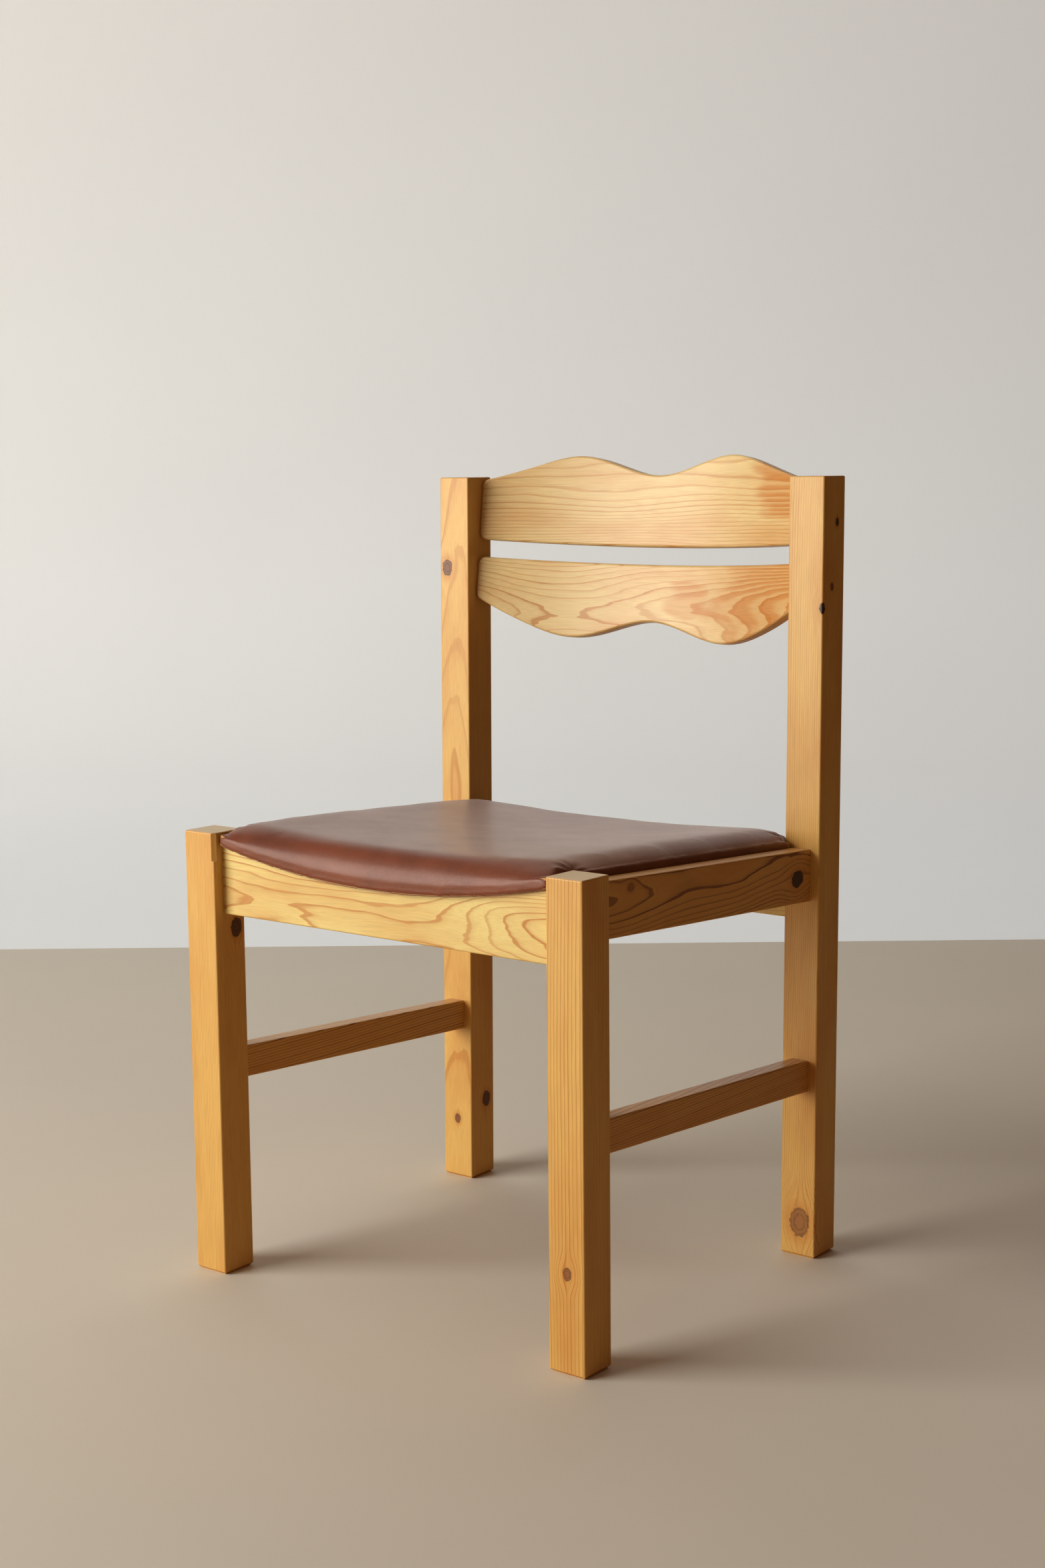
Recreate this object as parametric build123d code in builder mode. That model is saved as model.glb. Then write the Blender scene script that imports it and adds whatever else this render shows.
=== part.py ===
from build123d import *
from math import cos, radians, sin, sqrt, tan
import os

# A pine dining chair: square legs and posts, two sloping stretchers, a dished leather seat
# and two bowed, wave-edged back slats. Millimetres, +Z up. The chair faces -Y. The origin
# is on the floor, under the middle of the chair's overall box.

os.makedirs("parts", exist_ok=True)

# Overall frame
WIDTH = 490.0
OVERALL_DEPTH = 484.4        # front of the front legs to the back of the bowed slats
LEG = 40.0                   # square section of legs and posts
FRONT_LEG_HEIGHT = 450.0
POST_HEIGHT = 791.0
POST_DISTANCE = 390.5        # front of the legs to front of the posts, on the floor
POST_LEAN = 0.6              # degrees, backwards
FOOT_CHAMFER = 3.0
ARRIS = 1.6                  # rounding of the sawn edges
CHIP_WIDTH = 2.6             # splinter missing from the front left leg's inner arris
CHIP_LENGTH = 28.0

# Rails
RAIL_THICKNESS = 20.0
RAIL_INSET = 10.0            # side rails behind the outer faces of legs and posts
RAIL_SLOPE = 3.25            # degrees, side rails and seat fall towards the back
RAIL_ARRIS = 1.8
SEAT_LINE = 444.6            # top of the side aprons, carried forward to the legs' front
SIDE_APRON_HEIGHT = 53.0
STRETCHER_LINE = 228.5       # top of the stretchers, carried forward in the same way
STRETCHER_HEIGHT = 32.4
FRONT_APRON_INSET = 12.0
FRONT_APRON_BOTTOM = 368.0
REAR_APRON_INSET = 14.0      # behind the posts' front at floor level
REAR_APRON_BOTTOM = 348.0
APRON_BLANK_HEIGHT = 80.0    # before the top is cut to the dish of the seat

# Seat, measured square to the sloping seat line
SEAT_WIDTH = 427.0
SEAT_START = 5.0             # from the front of the legs to the leather's front face
SEAT_END = 418.0
SEAT_BOTTOM = -30.8          # underside at mid width, below the seat line
SEAT_DIP = 26.0              # fall of the underside from its sides to its middle
SEAT_TOP = 8.0               # top at mid width
SEAT_CROWN_DIP = 10.5        # fall of the top from its sides to its middle
SIDE_ROLL = 15.0
END_ROLL = 17.0
SEAT_GAP = 0.8               # round the legs and posts
FRONT_NOTCH = 42.0           # the seat passes behind the front legs here
REAR_NOTCH = 392.0           # and in front of the posts here
LEATHER = 1.2
BOARD_THICKNESS = 10.0
REST_GAP = 0.3               # between the leather and the aprons it lies on
FLAP_SIDE = 28.0             # leather turned under the board
FLAP_END = 44.0

# Back slats, in a plane that leans back
SLAT_LEAN = 6.5
SLAT_PLANE_Y = 413.0         # front of the slats' ends, behind the legs' front
SLAT_PLANE_Z = 700.0
SLAT_BOW = 45.0
SLAT_REACH = 130.0          # taller than either slat, above and below the origin
SLAT_THICKNESS = 16.0
SLAT_TENON_LENGTH = 14.0
SLAT_TENON_ROOT = 4.0        # carried on inside the slat's bent end
SLAT_TENON_THICKNESS = 10.0
SLAT_SHOULDER = 13.0         # above and below each tenon
SLAT_ARRIS = 2.5
SLAT_CORNER = 8.0
UPPER_STRAIGHT_EDGE = 21.5   # heights above the slat plane's origin
UPPER_WAVE_EDGE = 97.8
LOWER_STRAIGHT_EDGE = 2.7
LOWER_WAVE_EDGE = -58.4
STRAIGHT_EDGE_SAG = 2.2
WAVE_CREST_AT = 97.0         # from the middle
WAVE_CREST = 20.0
WAVE_FLANK_AT = 150.0
WAVE_FLANK = 7.5
UPPER_WAVE_END = -9.5
LOWER_WAVE_END = -19.0

# Joints and fixings
DOWEL_RADIUS = 4.0
DOWEL_LENGTH = 46.0
DOWEL_PITCH = 30.0
END_DOWEL_MARGIN = 14.5      # lowest dowels above the bottoms of the front and rear aprons
SIDE_DOWEL_MARGIN = 10.0     # less, so that the two families pass each other in the legs
STRETCHER_DOWEL_RADIUS = 5.0
BLOCK_SIZE = 62.0            # corner blocks, along each apron
BLOCK_HEIGHT = 28.0
BLOCK_NOTCH = 12.0           # round the leg or post
BLOCK_DROP = 3.0             # below the seat board where they are nearest
BLOCK_TIP = 14.0             # width of their cut-off ends
BLOCK_SCREW_DEPTH = 12.0     # wood under the heads of the block screws
SCREW_RADIUS = 2.0
SCREW_HEAD_RADIUS = 4.0
SCREW_HEAD_HEIGHT = 2.6
SCREW_SLOT = 0.9
SCREW_POCKET_CLEARANCE = 0.4
BLOCK_SCREW_LENGTH = 26.0
SEAT_SCREW_LENGTH = 44.0
STAPLE_CROWN = 10.0
STAPLE_WIRE = 0.9
STAPLE_LEG = 6.0
STAPLE_PITCH = 24.0
STAPLE_MARGIN = 8.0          # from the edge of the turned-under leather

front_y = -OVERALL_DEPTH / 2
inner_x = WIDTH / 2 - LEG
side_rail_x = WIDTH / 2 - RAIL_INSET - RAIL_THICKNESS
slope = tan(radians(RAIL_SLOPE))
lean = tan(radians(POST_LEAN))
sides = {"left": -1, "right": 1}


def post_front(z):
    """Y of the posts' leaning front faces at a height."""
    return front_y + POST_DISTANCE + lean * z


def rail_line(top, y):
    """Height of a sloping rail's edge at y, where top is its height at the legs' front."""
    return top - slope * (y - front_y)


def rail_corners(top, height):
    """Side view of a rail from the back of the front leg to the leaning front of the post."""
    start = front_y + LEG
    corners = [(start, rail_line(top, start)), (start, rail_line(top - height, start))]
    for edge in (top - height, top):
        z = (edge - slope * POST_DISTANCE) / (1 + slope * lean)
        corners.append((post_front(z), z))
    return corners


def arc_height(x, middle, dip, half_width):
    """Height at x of a circular arc that rises by dip from the middle to half_width."""
    radius = (half_width**2 + dip**2) / (2 * dip)
    return middle + radius - sqrt(radius**2 - x**2)


seat_origin = Vector(0, front_y, SEAT_LINE)
seat_back = Vector(0, cos(radians(RAIL_SLOPE)), -sin(radians(RAIL_SLOPE)))
seat_up = Vector(0, sin(radians(RAIL_SLOPE)), cos(radians(RAIL_SLOPE)))
seat_plan = Plane(seat_origin, x_dir=(1, 0, 0), z_dir=seat_up)


def seat_section(distance):
    """Upright plane across the seat, at a distance back along its slope."""
    return Plane(seat_origin + seat_back * distance, x_dir=(1, 0, 0), z_dir=-seat_back)


slat_up = Vector(0, sin(radians(SLAT_LEAN)), cos(radians(SLAT_LEAN)))
slat_back = Vector(0, cos(radians(SLAT_LEAN)), -sin(radians(SLAT_LEAN)))
slat_origin = Vector(0, front_y + SLAT_PLANE_Y, SLAT_PLANE_Z)
slat_face = Plane(slat_origin, x_dir=(1, 0, 0), z_dir=-slat_back)
slat_radius = (inner_x**2 + SLAT_BOW**2) / (2 * SLAT_BOW)


def bowed_slat(straight, wave, direction, wave_end):
    """One back slat: a nearly straight edge and a waved one, bent to an arc, with two tenons.

    direction is 1 where the wave is the top edge and -1 where it is the bottom edge.
    """
    low = straight + STRAIGHT_EDGE_SAG
    high = wave + direction * wave_end
    flank = wave + direction * WAVE_FLANK
    crest = wave + direction * WAVE_CREST
    wave_right = [(WAVE_CREST_AT, crest), (WAVE_FLANK_AT, flank), (inner_x, high)]
    wave_left = [(-x, height) for x, height in reversed(wave_right)]
    with BuildPart() as slat:
        with BuildSketch(slat_face) as outline:
            with BuildLine():
                Spline(*wave_left, (0, wave), *wave_right)
                ThreePointArc((-inner_x, low), (0, straight), (inner_x, low))
                Line((inner_x, high), (inner_x, low))
                Line((-inner_x, high), (-inner_x, low))
            make_face()
            fillet(outline.vertices(), SLAT_CORNER)
        extrude(amount=-2 * SLAT_BOW)
        with BuildSketch(Plane(slat_origin - slat_up * SLAT_REACH, x_dir=(1, 0, 0), z_dir=slat_up)):
            with Locations((0, SLAT_BOW - slat_radius)):
                Circle(slat_radius + SLAT_THICKNESS)
                Circle(slat_radius, mode=Mode.SUBTRACT)
        extrude(amount=2 * SLAT_REACH, mode=Mode.INTERSECT)
        fillet(slat.edges().filter_by(lambda edge: abs(edge.center().X) < inner_x - 1), SLAT_ARRIS)
        tenon_height = abs(high - low) - 2 * SLAT_SHOULDER
        tenon_margin = (SLAT_THICKNESS - SLAT_TENON_THICKNESS) / 2
        with BuildSketch(slat_face.offset(-tenon_margin)):
            tenon_middle = inner_x + (SLAT_TENON_LENGTH - SLAT_TENON_ROOT) / 2
            with Locations(*((sign * tenon_middle, (high + low) / 2) for sign in (-1, 1))):
                Rectangle(SLAT_TENON_LENGTH + SLAT_TENON_ROOT, tenon_height)
        extrude(amount=-SLAT_TENON_THICKNESS)
    return slat


upper_back_slat = bowed_slat(UPPER_STRAIGHT_EDGE, UPPER_WAVE_EDGE, 1, UPPER_WAVE_END)
upper_back_slat.part.label = "upper_back_slat"
export_step(upper_back_slat.part, "parts/upper_back_slat.step")

lower_back_slat = bowed_slat(LOWER_STRAIGHT_EDGE, LOWER_WAVE_EDGE, -1, LOWER_WAVE_END)
lower_back_slat.part.label = "lower_back_slat"
export_step(lower_back_slat.part, "parts/lower_back_slat.step")


# Dowels, in one node per family of joints, and cut out of the pieces that they join

def dowels_along_x(ends, y, low_z):
    """Two dowels, one above the other, centred on each X in ends."""
    with BuildPart() as dowels:
        for x in ends:
            for rise in (0, DOWEL_PITCH):
                with Locations(Location((x, y, low_z + rise), (0, 90, 0))):
                    Cylinder(DOWEL_RADIUS, DOWEL_LENGTH)
    return dowels


front_apron_y = front_y + FRONT_APRON_INSET + RAIL_THICKNESS / 2
rear_apron_y = front_y + POST_DISTANCE + REAR_APRON_INSET + RAIL_THICKNESS / 2

front_dowel_z = FRONT_APRON_BOTTOM + END_DOWEL_MARGIN
front_apron_dowels = dowels_along_x((-inner_x, inner_x), front_apron_y, front_dowel_z)
front_apron_dowels.part.label = "front_apron_dowels"
export_step(front_apron_dowels.part, "parts/front_apron_dowels.step")

rear_dowel_z = REAR_APRON_BOTTOM + END_DOWEL_MARGIN
rear_apron_dowels = dowels_along_x((-inner_x, inner_x), rear_apron_y, rear_dowel_z)
rear_apron_dowels.part.label = "rear_apron_dowels"
export_step(rear_apron_dowels.part, "parts/rear_apron_dowels.step")

# Side rail dowels follow the slope of the rail and meet both of its ends.
side_rail_middle = side_rail_x + RAIL_THICKNESS / 2
rail_ends = (front_y + LEG, post_front(SEAT_LINE - SIDE_APRON_HEIGHT))
side_dowels = {}
for side, sign in sides.items():
    with BuildPart() as side_apron_dowels:
        for y in rail_ends:
            low_z = rail_line(SEAT_LINE - SIDE_APRON_HEIGHT + SIDE_DOWEL_MARGIN, y)
            for rise in (0, DOWEL_PITCH):
                with Locations(Location((sign * side_rail_middle, y, low_z + rise), (90, 0, 0))):
                    Cylinder(DOWEL_RADIUS, DOWEL_LENGTH)
    side_apron_dowels.part.label = f"side_apron_dowels_{side}"
    export_step(side_apron_dowels.part, f"parts/side_apron_dowels_{side}.step")
    side_dowels[side] = side_apron_dowels

with BuildPart() as side_stretcher_dowels:
    for sign in sides.values():
        for y in rail_ends:
            z = rail_line(STRETCHER_LINE - STRETCHER_HEIGHT / 2, y)
            with Locations(Location((sign * side_rail_middle, y, z), (90, 0, 0))):
                Cylinder(STRETCHER_DOWEL_RADIUS, DOWEL_LENGTH)
side_stretcher_dowels.part.label = "side_stretcher_dowels"
export_step(side_stretcher_dowels.part, "parts/side_stretcher_dowels.step")


# Corner blocks under the seat, and their screws

def screw_holes(places, length):
    """Countersunk screws without slots: the heads' faces are at the places, the tips along +Z."""
    with BuildPart() as holes:
        with Locations(*places):
            bottom = (Align.CENTER, Align.CENTER, Align.MIN)
            Cone(SCREW_HEAD_RADIUS, SCREW_RADIUS, SCREW_HEAD_HEIGHT, align=bottom)
            Cylinder(SCREW_RADIUS, length - 2 * SCREW_RADIUS, align=bottom)
        with Locations(*(place * Location((0, 0, length - 2 * SCREW_RADIUS)) for place in places)):
            Cone(SCREW_RADIUS, SCREW_RADIUS / 5, 2 * SCREW_RADIUS, align=bottom)
    return holes


def cross_slots(places):
    """A cross-shaped driver slot for the screw head at each place."""
    with BuildPart() as slots:
        with Locations(*places):
            Box(SCREW_HEAD_RADIUS, SCREW_SLOT, SCREW_HEAD_HEIGHT)
            Box(SCREW_SLOT, SCREW_HEAD_RADIUS, SCREW_HEAD_HEIGHT)
    return slots


# Each corner is the meeting line of an end apron's and a side apron's inner faces.
front_corner_y = front_y + FRONT_APRON_INSET + RAIL_THICKNESS
rear_corner_y = front_y + POST_DISTANCE + REAR_APRON_INSET
block_corners = {}
for end, corner_y, inward in (("front", front_corner_y, 1), ("rear", rear_corner_y, -1)):
    lowest_board = arc_height(side_rail_x - BLOCK_SIZE, SEAT_BOTTOM + LEATHER, SEAT_DIP, SEAT_WIDTH / 2)
    top = rail_line(SEAT_LINE, corner_y) + lowest_board - BLOCK_DROP
    for side, sign in sides.items():
        block_corners[f"{end}_{side}"] = (sign, corner_y, inward, top)

block_screw_places = []
seat_screw_places = []
for sign, corner_y, inward, top in block_corners.values():
    corner_x = sign * side_rail_x
    middle_z = top - BLOCK_HEIGHT / 2
    far = BLOCK_SIZE - BLOCK_TIP
    into_end = Location((corner_x - sign * far, corner_y + inward * BLOCK_SCREW_DEPTH, middle_z))
    into_side = Location((corner_x - sign * BLOCK_SCREW_DEPTH, corner_y + inward * far, middle_z))
    block_screw_places.append(into_end * Location((0, 0, 0), (90 * inward, 0, 0)))
    block_screw_places.append(into_side * Location((0, 0, 0), (0, 90 * sign, 0)))
    halfway = far / 2
    seat_screw_places.append(
        Location((corner_x - sign * halfway, corner_y + inward * halfway, top - BLOCK_HEIGHT))
    )

block_screw_holes = screw_holes(block_screw_places, BLOCK_SCREW_LENGTH)
seat_screw_holes = screw_holes(seat_screw_places, SEAT_SCREW_LENGTH)

with BuildPart() as corner_block_screws:
    add(block_screw_holes.part)
    add(cross_slots(block_screw_places).part, mode=Mode.SUBTRACT)
corner_block_screws.part.label = "corner_block_screws"
export_step(corner_block_screws.part, "parts/corner_block_screws.step")

with BuildPart() as seat_fixing_screws:
    add(seat_screw_holes.part)
    add(cross_slots(seat_screw_places).part, mode=Mode.SUBTRACT)
seat_fixing_screws.part.label = "seat_fixing_screws"
export_step(seat_fixing_screws.part, "parts/seat_fixing_screws.step")

with BuildPart() as screw_pockets:
    with Locations(*block_screw_places):
        outwards = (Align.CENTER, Align.CENTER, Align.MAX)
        Cylinder(SCREW_HEAD_RADIUS + SCREW_POCKET_CLEARANCE, BLOCK_SIZE, align=outwards)

for name, (sign, corner_y, inward, top) in block_corners.items():
    with BuildPart() as corner_block:
        with BuildSketch(Plane((sign * side_rail_x, corner_y, top))):
            with BuildLine():
                along_end = [(BLOCK_SIZE, BLOCK_TIP), (BLOCK_SIZE, 0), (BLOCK_NOTCH, 0)]
                along_side = [(0, BLOCK_NOTCH), (0, BLOCK_SIZE), (BLOCK_TIP, BLOCK_SIZE)]
                corners = along_end + [(BLOCK_NOTCH, BLOCK_NOTCH)] + along_side
                Polyline(*((-sign * x, inward * y) for x, y in corners), close=True)
            make_face()
        extrude(amount=-BLOCK_HEIGHT)
        add(screw_pockets.part, mode=Mode.SUBTRACT)
        add(block_screw_holes.part, mode=Mode.SUBTRACT)
        add(seat_screw_holes.part, mode=Mode.SUBTRACT)
    corner_block.part.label = f"corner_block_{name}"
    export_step(corner_block.part, f"parts/corner_block_{name}.step")


# Seat: a moulded plywood board, a foam pad and a leather cover, all within one outer form

def seat_form(skin):
    """The seat's outer form, or what lies a skin's thickness inside it."""
    half = SEAT_WIDTH / 2 - skin
    start = SEAT_START + skin
    end = SEAT_END - skin
    with BuildPart() as form:
        with BuildSketch(seat_section(start)) as section:
            with BuildLine():
                low = arc_height(half, SEAT_BOTTOM + skin, SEAT_DIP, SEAT_WIDTH / 2)
                high = SEAT_TOP - skin + SEAT_CROWN_DIP
                ThreePointArc((-half, low), (0, SEAT_BOTTOM + skin), (half, low))
                ThreePointArc((-half, high), (0, SEAT_TOP - skin), (half, high))
                Line((-half, low), (-half, high))
                Line((half, low), (half, high))
            make_face()
            fillet(section.vertices().group_by(Axis.Y)[-1], SIDE_ROLL - skin)
        extrude(amount=-(end - start))
        ends = form.faces().sort_by(Axis.Y)
        for face in (ends[0], ends[-1]):
            top_edge = face.edges().filter_by(lambda edge: abs(edge.center().X) < 1).sort_by(Axis.Z)[-1]
            fillet(top_edge, END_ROLL - skin)
        notch_width = SEAT_WIDTH / 2 - inner_x + SEAT_GAP + skin
        with BuildSketch(seat_plan.offset(SEAT_BOTTOM)):
            for sign in sides.values():
                with Locations((sign * SEAT_WIDTH / 2, (FRONT_NOTCH + skin) / 2)):
                    Rectangle(2 * notch_width, FRONT_NOTCH + skin)
                with Locations((sign * SEAT_WIDTH / 2, (REAR_NOTCH - skin + SEAT_END) / 2)):
                    Rectangle(2 * notch_width, SEAT_END - REAR_NOTCH + skin)
        extrude(amount=3 * SEAT_DIP, mode=Mode.SUBTRACT)
    return form


def above_dish(rise):
    """All the space over the seat's dished underside, or over a level that much above it."""
    with BuildPart() as space:
        with BuildSketch(seat_section(-LEG)):
            with BuildLine():
                low = SEAT_BOTTOM + rise
                edge = arc_height(WIDTH / 2, low, SEAT_DIP, SEAT_WIDTH / 2)
                ThreePointArc((-WIDTH / 2, edge), (0, low), (WIDTH / 2, edge))
                Polyline((WIDTH / 2, edge), (WIDTH / 2, 100), (-WIDTH / 2, 100), (-WIDTH / 2, edge))
            make_face()
        extrude(amount=-OVERALL_DEPTH)
    return space


outer_form = seat_form(0)
inner_form = seat_form(LEATHER)
over_board = above_dish(LEATHER + BOARD_THICKNESS)
over_aprons = above_dish(-REST_GAP)


def staple_place(x, distance, lengthwise):
    """A place on the leather's underside, with the staple across the seat or lengthwise."""
    height = arc_height(x, SEAT_BOTTOM, SEAT_DIP, SEAT_WIDTH / 2)
    tangent = Vector(dish_radius, 0, 0) + seat_up * x
    point = seat_origin + Vector(x, 0, 0) + seat_back * distance + seat_up * height
    normal = tangent.cross(seat_back)
    return Plane(point, x_dir=seat_back if lengthwise else tangent, z_dir=normal).location


dish_radius = ((SEAT_WIDTH / 2) ** 2 + SEAT_DIP**2) / (2 * SEAT_DIP)
flap_edge_x = SEAT_WIDTH / 2 - FLAP_SIDE
flap_edge_start = SEAT_START + FLAP_END
flap_edge_end = SEAT_END - FLAP_END
staple_places = []
across = int(2 * flap_edge_x / STAPLE_PITCH)
along = int((flap_edge_end - flap_edge_start) / STAPLE_PITCH) - 1
for step in range(across + 1):
    x = (step - across / 2) * STAPLE_PITCH
    staple_places.append(staple_place(x, flap_edge_start - STAPLE_MARGIN, False))
    staple_places.append(staple_place(x, flap_edge_end + STAPLE_MARGIN, False))
for step in range(along + 1):
    distance = (flap_edge_start + flap_edge_end) / 2 + (step - along / 2) * STAPLE_PITCH
    for sign in sides.values():
        staple_places.append(staple_place(sign * (flap_edge_x + STAPLE_MARGIN), distance, True))

with BuildPart() as cover_staples:
    under = (Align.CENTER, Align.CENTER, Align.MAX)
    with Locations(*staple_places):
        Box(STAPLE_CROWN, STAPLE_WIRE, STAPLE_WIRE, align=under)
        for sign in (-1, 1):
            with Locations((sign * (STAPLE_CROWN - STAPLE_WIRE) / 2, 0, STAPLE_LEG)):
                Box(STAPLE_WIRE, STAPLE_WIRE, STAPLE_LEG + STAPLE_WIRE, align=under)
cover_staples.part.label = "cover_staples"
export_step(cover_staples.part, "parts/cover_staples.step")

with BuildPart() as seat_board:
    add(inner_form.part)
    add(over_board.part, mode=Mode.SUBTRACT)
    add(cover_staples.part, mode=Mode.SUBTRACT)
    add(seat_screw_holes.part, mode=Mode.SUBTRACT)
seat_board.part.label = "seat_board"
export_step(seat_board.part, "parts/seat_board.step")

with BuildPart() as seat_foam:
    add(inner_form.part)
    add(over_board.part, mode=Mode.INTERSECT)
seat_foam.part.label = "seat_foam"
export_step(seat_foam.part, "parts/seat_foam.step")

with BuildPart() as seat_cover:
    add(outer_form.part)
    add(inner_form.part, mode=Mode.SUBTRACT)
    with BuildSketch(seat_plan.offset(SEAT_BOTTOM - LEATHER)):
        with Locations((0, (SEAT_START + SEAT_END) / 2)):
            Rectangle(2 * flap_edge_x, flap_edge_end - flap_edge_start)
    extrude(amount=SEAT_DIP + LEATHER, mode=Mode.SUBTRACT)
    add(cover_staples.part, mode=Mode.SUBTRACT)
    add(seat_screw_holes.part, mode=Mode.SUBTRACT)
seat_cover.part.label = "seat_cover"
export_step(seat_cover.part, "parts/seat_cover.step")


# Legs and posts

for side, sign in sides.items():
    with BuildPart() as front_leg:
        with BuildSketch():
            with Locations((sign * (inner_x + LEG / 2), front_y + LEG / 2)):
                Rectangle(LEG, LEG)
        extrude(amount=FRONT_LEG_HEIGHT)
        chamfer(front_leg.faces().sort_by(Axis.Z)[0].edges(), FOOT_CHAMFER)
        fillet(front_leg.edges().filter_by(Axis.Z), ARRIS)
        fillet(front_leg.faces().sort_by(Axis.Z)[-1].edges(), ARRIS)
        if side == "left":
            with BuildSketch(Plane.XY.offset(FRONT_LEG_HEIGHT - CHIP_LENGTH)):
                with Locations((-inner_x, front_y)):
                    Rectangle(2 * CHIP_WIDTH, 2 * CHIP_WIDTH, rotation=45)
            extrude(amount=CHIP_LENGTH, mode=Mode.SUBTRACT)
        add(front_apron_dowels.part, mode=Mode.SUBTRACT)
        add(side_dowels[side].part, mode=Mode.SUBTRACT)
        add(side_stretcher_dowels.part, mode=Mode.SUBTRACT)
    front_leg.part.label = f"front_leg_{side}"
    export_step(front_leg.part, f"parts/front_leg_{side}.step")

    with BuildPart() as rear_post:
        with BuildSketch(Plane.YZ.offset(sign * inner_x)):
            with BuildLine():
                front = [(post_front(0), 0), (post_front(POST_HEIGHT), POST_HEIGHT)]
                back = [(y + LEG, z) for y, z in reversed(front)]
                Polyline(*front, *back, close=True)
            make_face()
        extrude(amount=sign * LEG)
        chamfer(rear_post.faces().sort_by(Axis.Z)[0].edges(), FOOT_CHAMFER)
        long_edges = rear_post.edges().filter_by(lambda edge: edge.length > POST_HEIGHT / 2)
        fillet(long_edges, ARRIS)
        fillet(rear_post.faces().sort_by(Axis.Z)[-1].edges(), ARRIS)
        add(rear_apron_dowels.part, mode=Mode.SUBTRACT)
        add(side_dowels[side].part, mode=Mode.SUBTRACT)
        add(side_stretcher_dowels.part, mode=Mode.SUBTRACT)
        add(upper_back_slat.part, mode=Mode.SUBTRACT)
        add(lower_back_slat.part, mode=Mode.SUBTRACT)
    rear_post.part.label = f"rear_post_{side}"
    export_step(rear_post.part, f"parts/rear_post_{side}.step")


# Front and rear aprons, with tops cut to the dish of the seat

with BuildPart() as front_apron:
    with BuildSketch(Plane.XY.offset(FRONT_APRON_BOTTOM)):
        with Locations((0, front_apron_y)):
            Rectangle(2 * inner_x, RAIL_THICKNESS)
    extrude(amount=APRON_BLANK_HEIGHT)
    fillet(front_apron.faces().sort_by(Axis.Z)[0].edges().filter_by(Axis.X), RAIL_ARRIS)
    add(over_aprons.part, mode=Mode.SUBTRACT)
    add(front_apron_dowels.part, mode=Mode.SUBTRACT)
    add(block_screw_holes.part, mode=Mode.SUBTRACT)
front_apron.part.label = "front_apron"
export_step(front_apron.part, "parts/front_apron.step")

with BuildPart() as rear_apron:
    with BuildSketch(Plane.XY.offset(REAR_APRON_BOTTOM)):
        with Locations((0, rear_apron_y)):
            Rectangle(2 * inner_x, RAIL_THICKNESS)
    extrude(amount=APRON_BLANK_HEIGHT)
    fillet(rear_apron.faces().sort_by(Axis.Z)[0].edges().filter_by(Axis.X), RAIL_ARRIS)
    add(over_aprons.part, mode=Mode.SUBTRACT)
    add(rear_apron_dowels.part, mode=Mode.SUBTRACT)
    add(block_screw_holes.part, mode=Mode.SUBTRACT)
rear_apron.part.label = "rear_apron"
export_step(rear_apron.part, "parts/rear_apron.step")


# Side aprons and stretchers, one profile at two heights

for side, sign in sides.items():
    with BuildPart() as side_apron:
        with BuildSketch(Plane.YZ.offset(sign * side_rail_x)):
            with BuildLine():
                Polyline(*rail_corners(SEAT_LINE, SIDE_APRON_HEIGHT), close=True)
            make_face()
        extrude(amount=sign * RAIL_THICKNESS)
        fillet(side_apron.edges().filter_by(lambda edge: edge.length > POST_DISTANCE / 2), RAIL_ARRIS)
        add(side_dowels[side].part, mode=Mode.SUBTRACT)
        add(block_screw_holes.part, mode=Mode.SUBTRACT)
    side_apron.part.label = f"side_apron_{side}"
    export_step(side_apron.part, f"parts/side_apron_{side}.step")

    with BuildPart() as side_stretcher:
        with BuildSketch(Plane.YZ.offset(sign * side_rail_x)):
            with BuildLine():
                Polyline(*rail_corners(STRETCHER_LINE, STRETCHER_HEIGHT), close=True)
            make_face()
        extrude(amount=sign * RAIL_THICKNESS)
        fillet(side_stretcher.edges().filter_by(lambda edge: edge.length > POST_DISTANCE / 2), RAIL_ARRIS)
        add(side_stretcher_dowels.part, mode=Mode.SUBTRACT)
    side_stretcher.part.label = f"side_stretcher_{side}"
    export_step(side_stretcher.part, f"parts/side_stretcher_{side}.step")
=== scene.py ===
from math import cos, radians, sin, sqrt

import bmesh
import bpy
from bpy.props import FloatProperty, FloatVectorProperty, PointerProperty
from mathutils import Euler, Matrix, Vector
from mathutils.bvhtree import BVHTree


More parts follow.
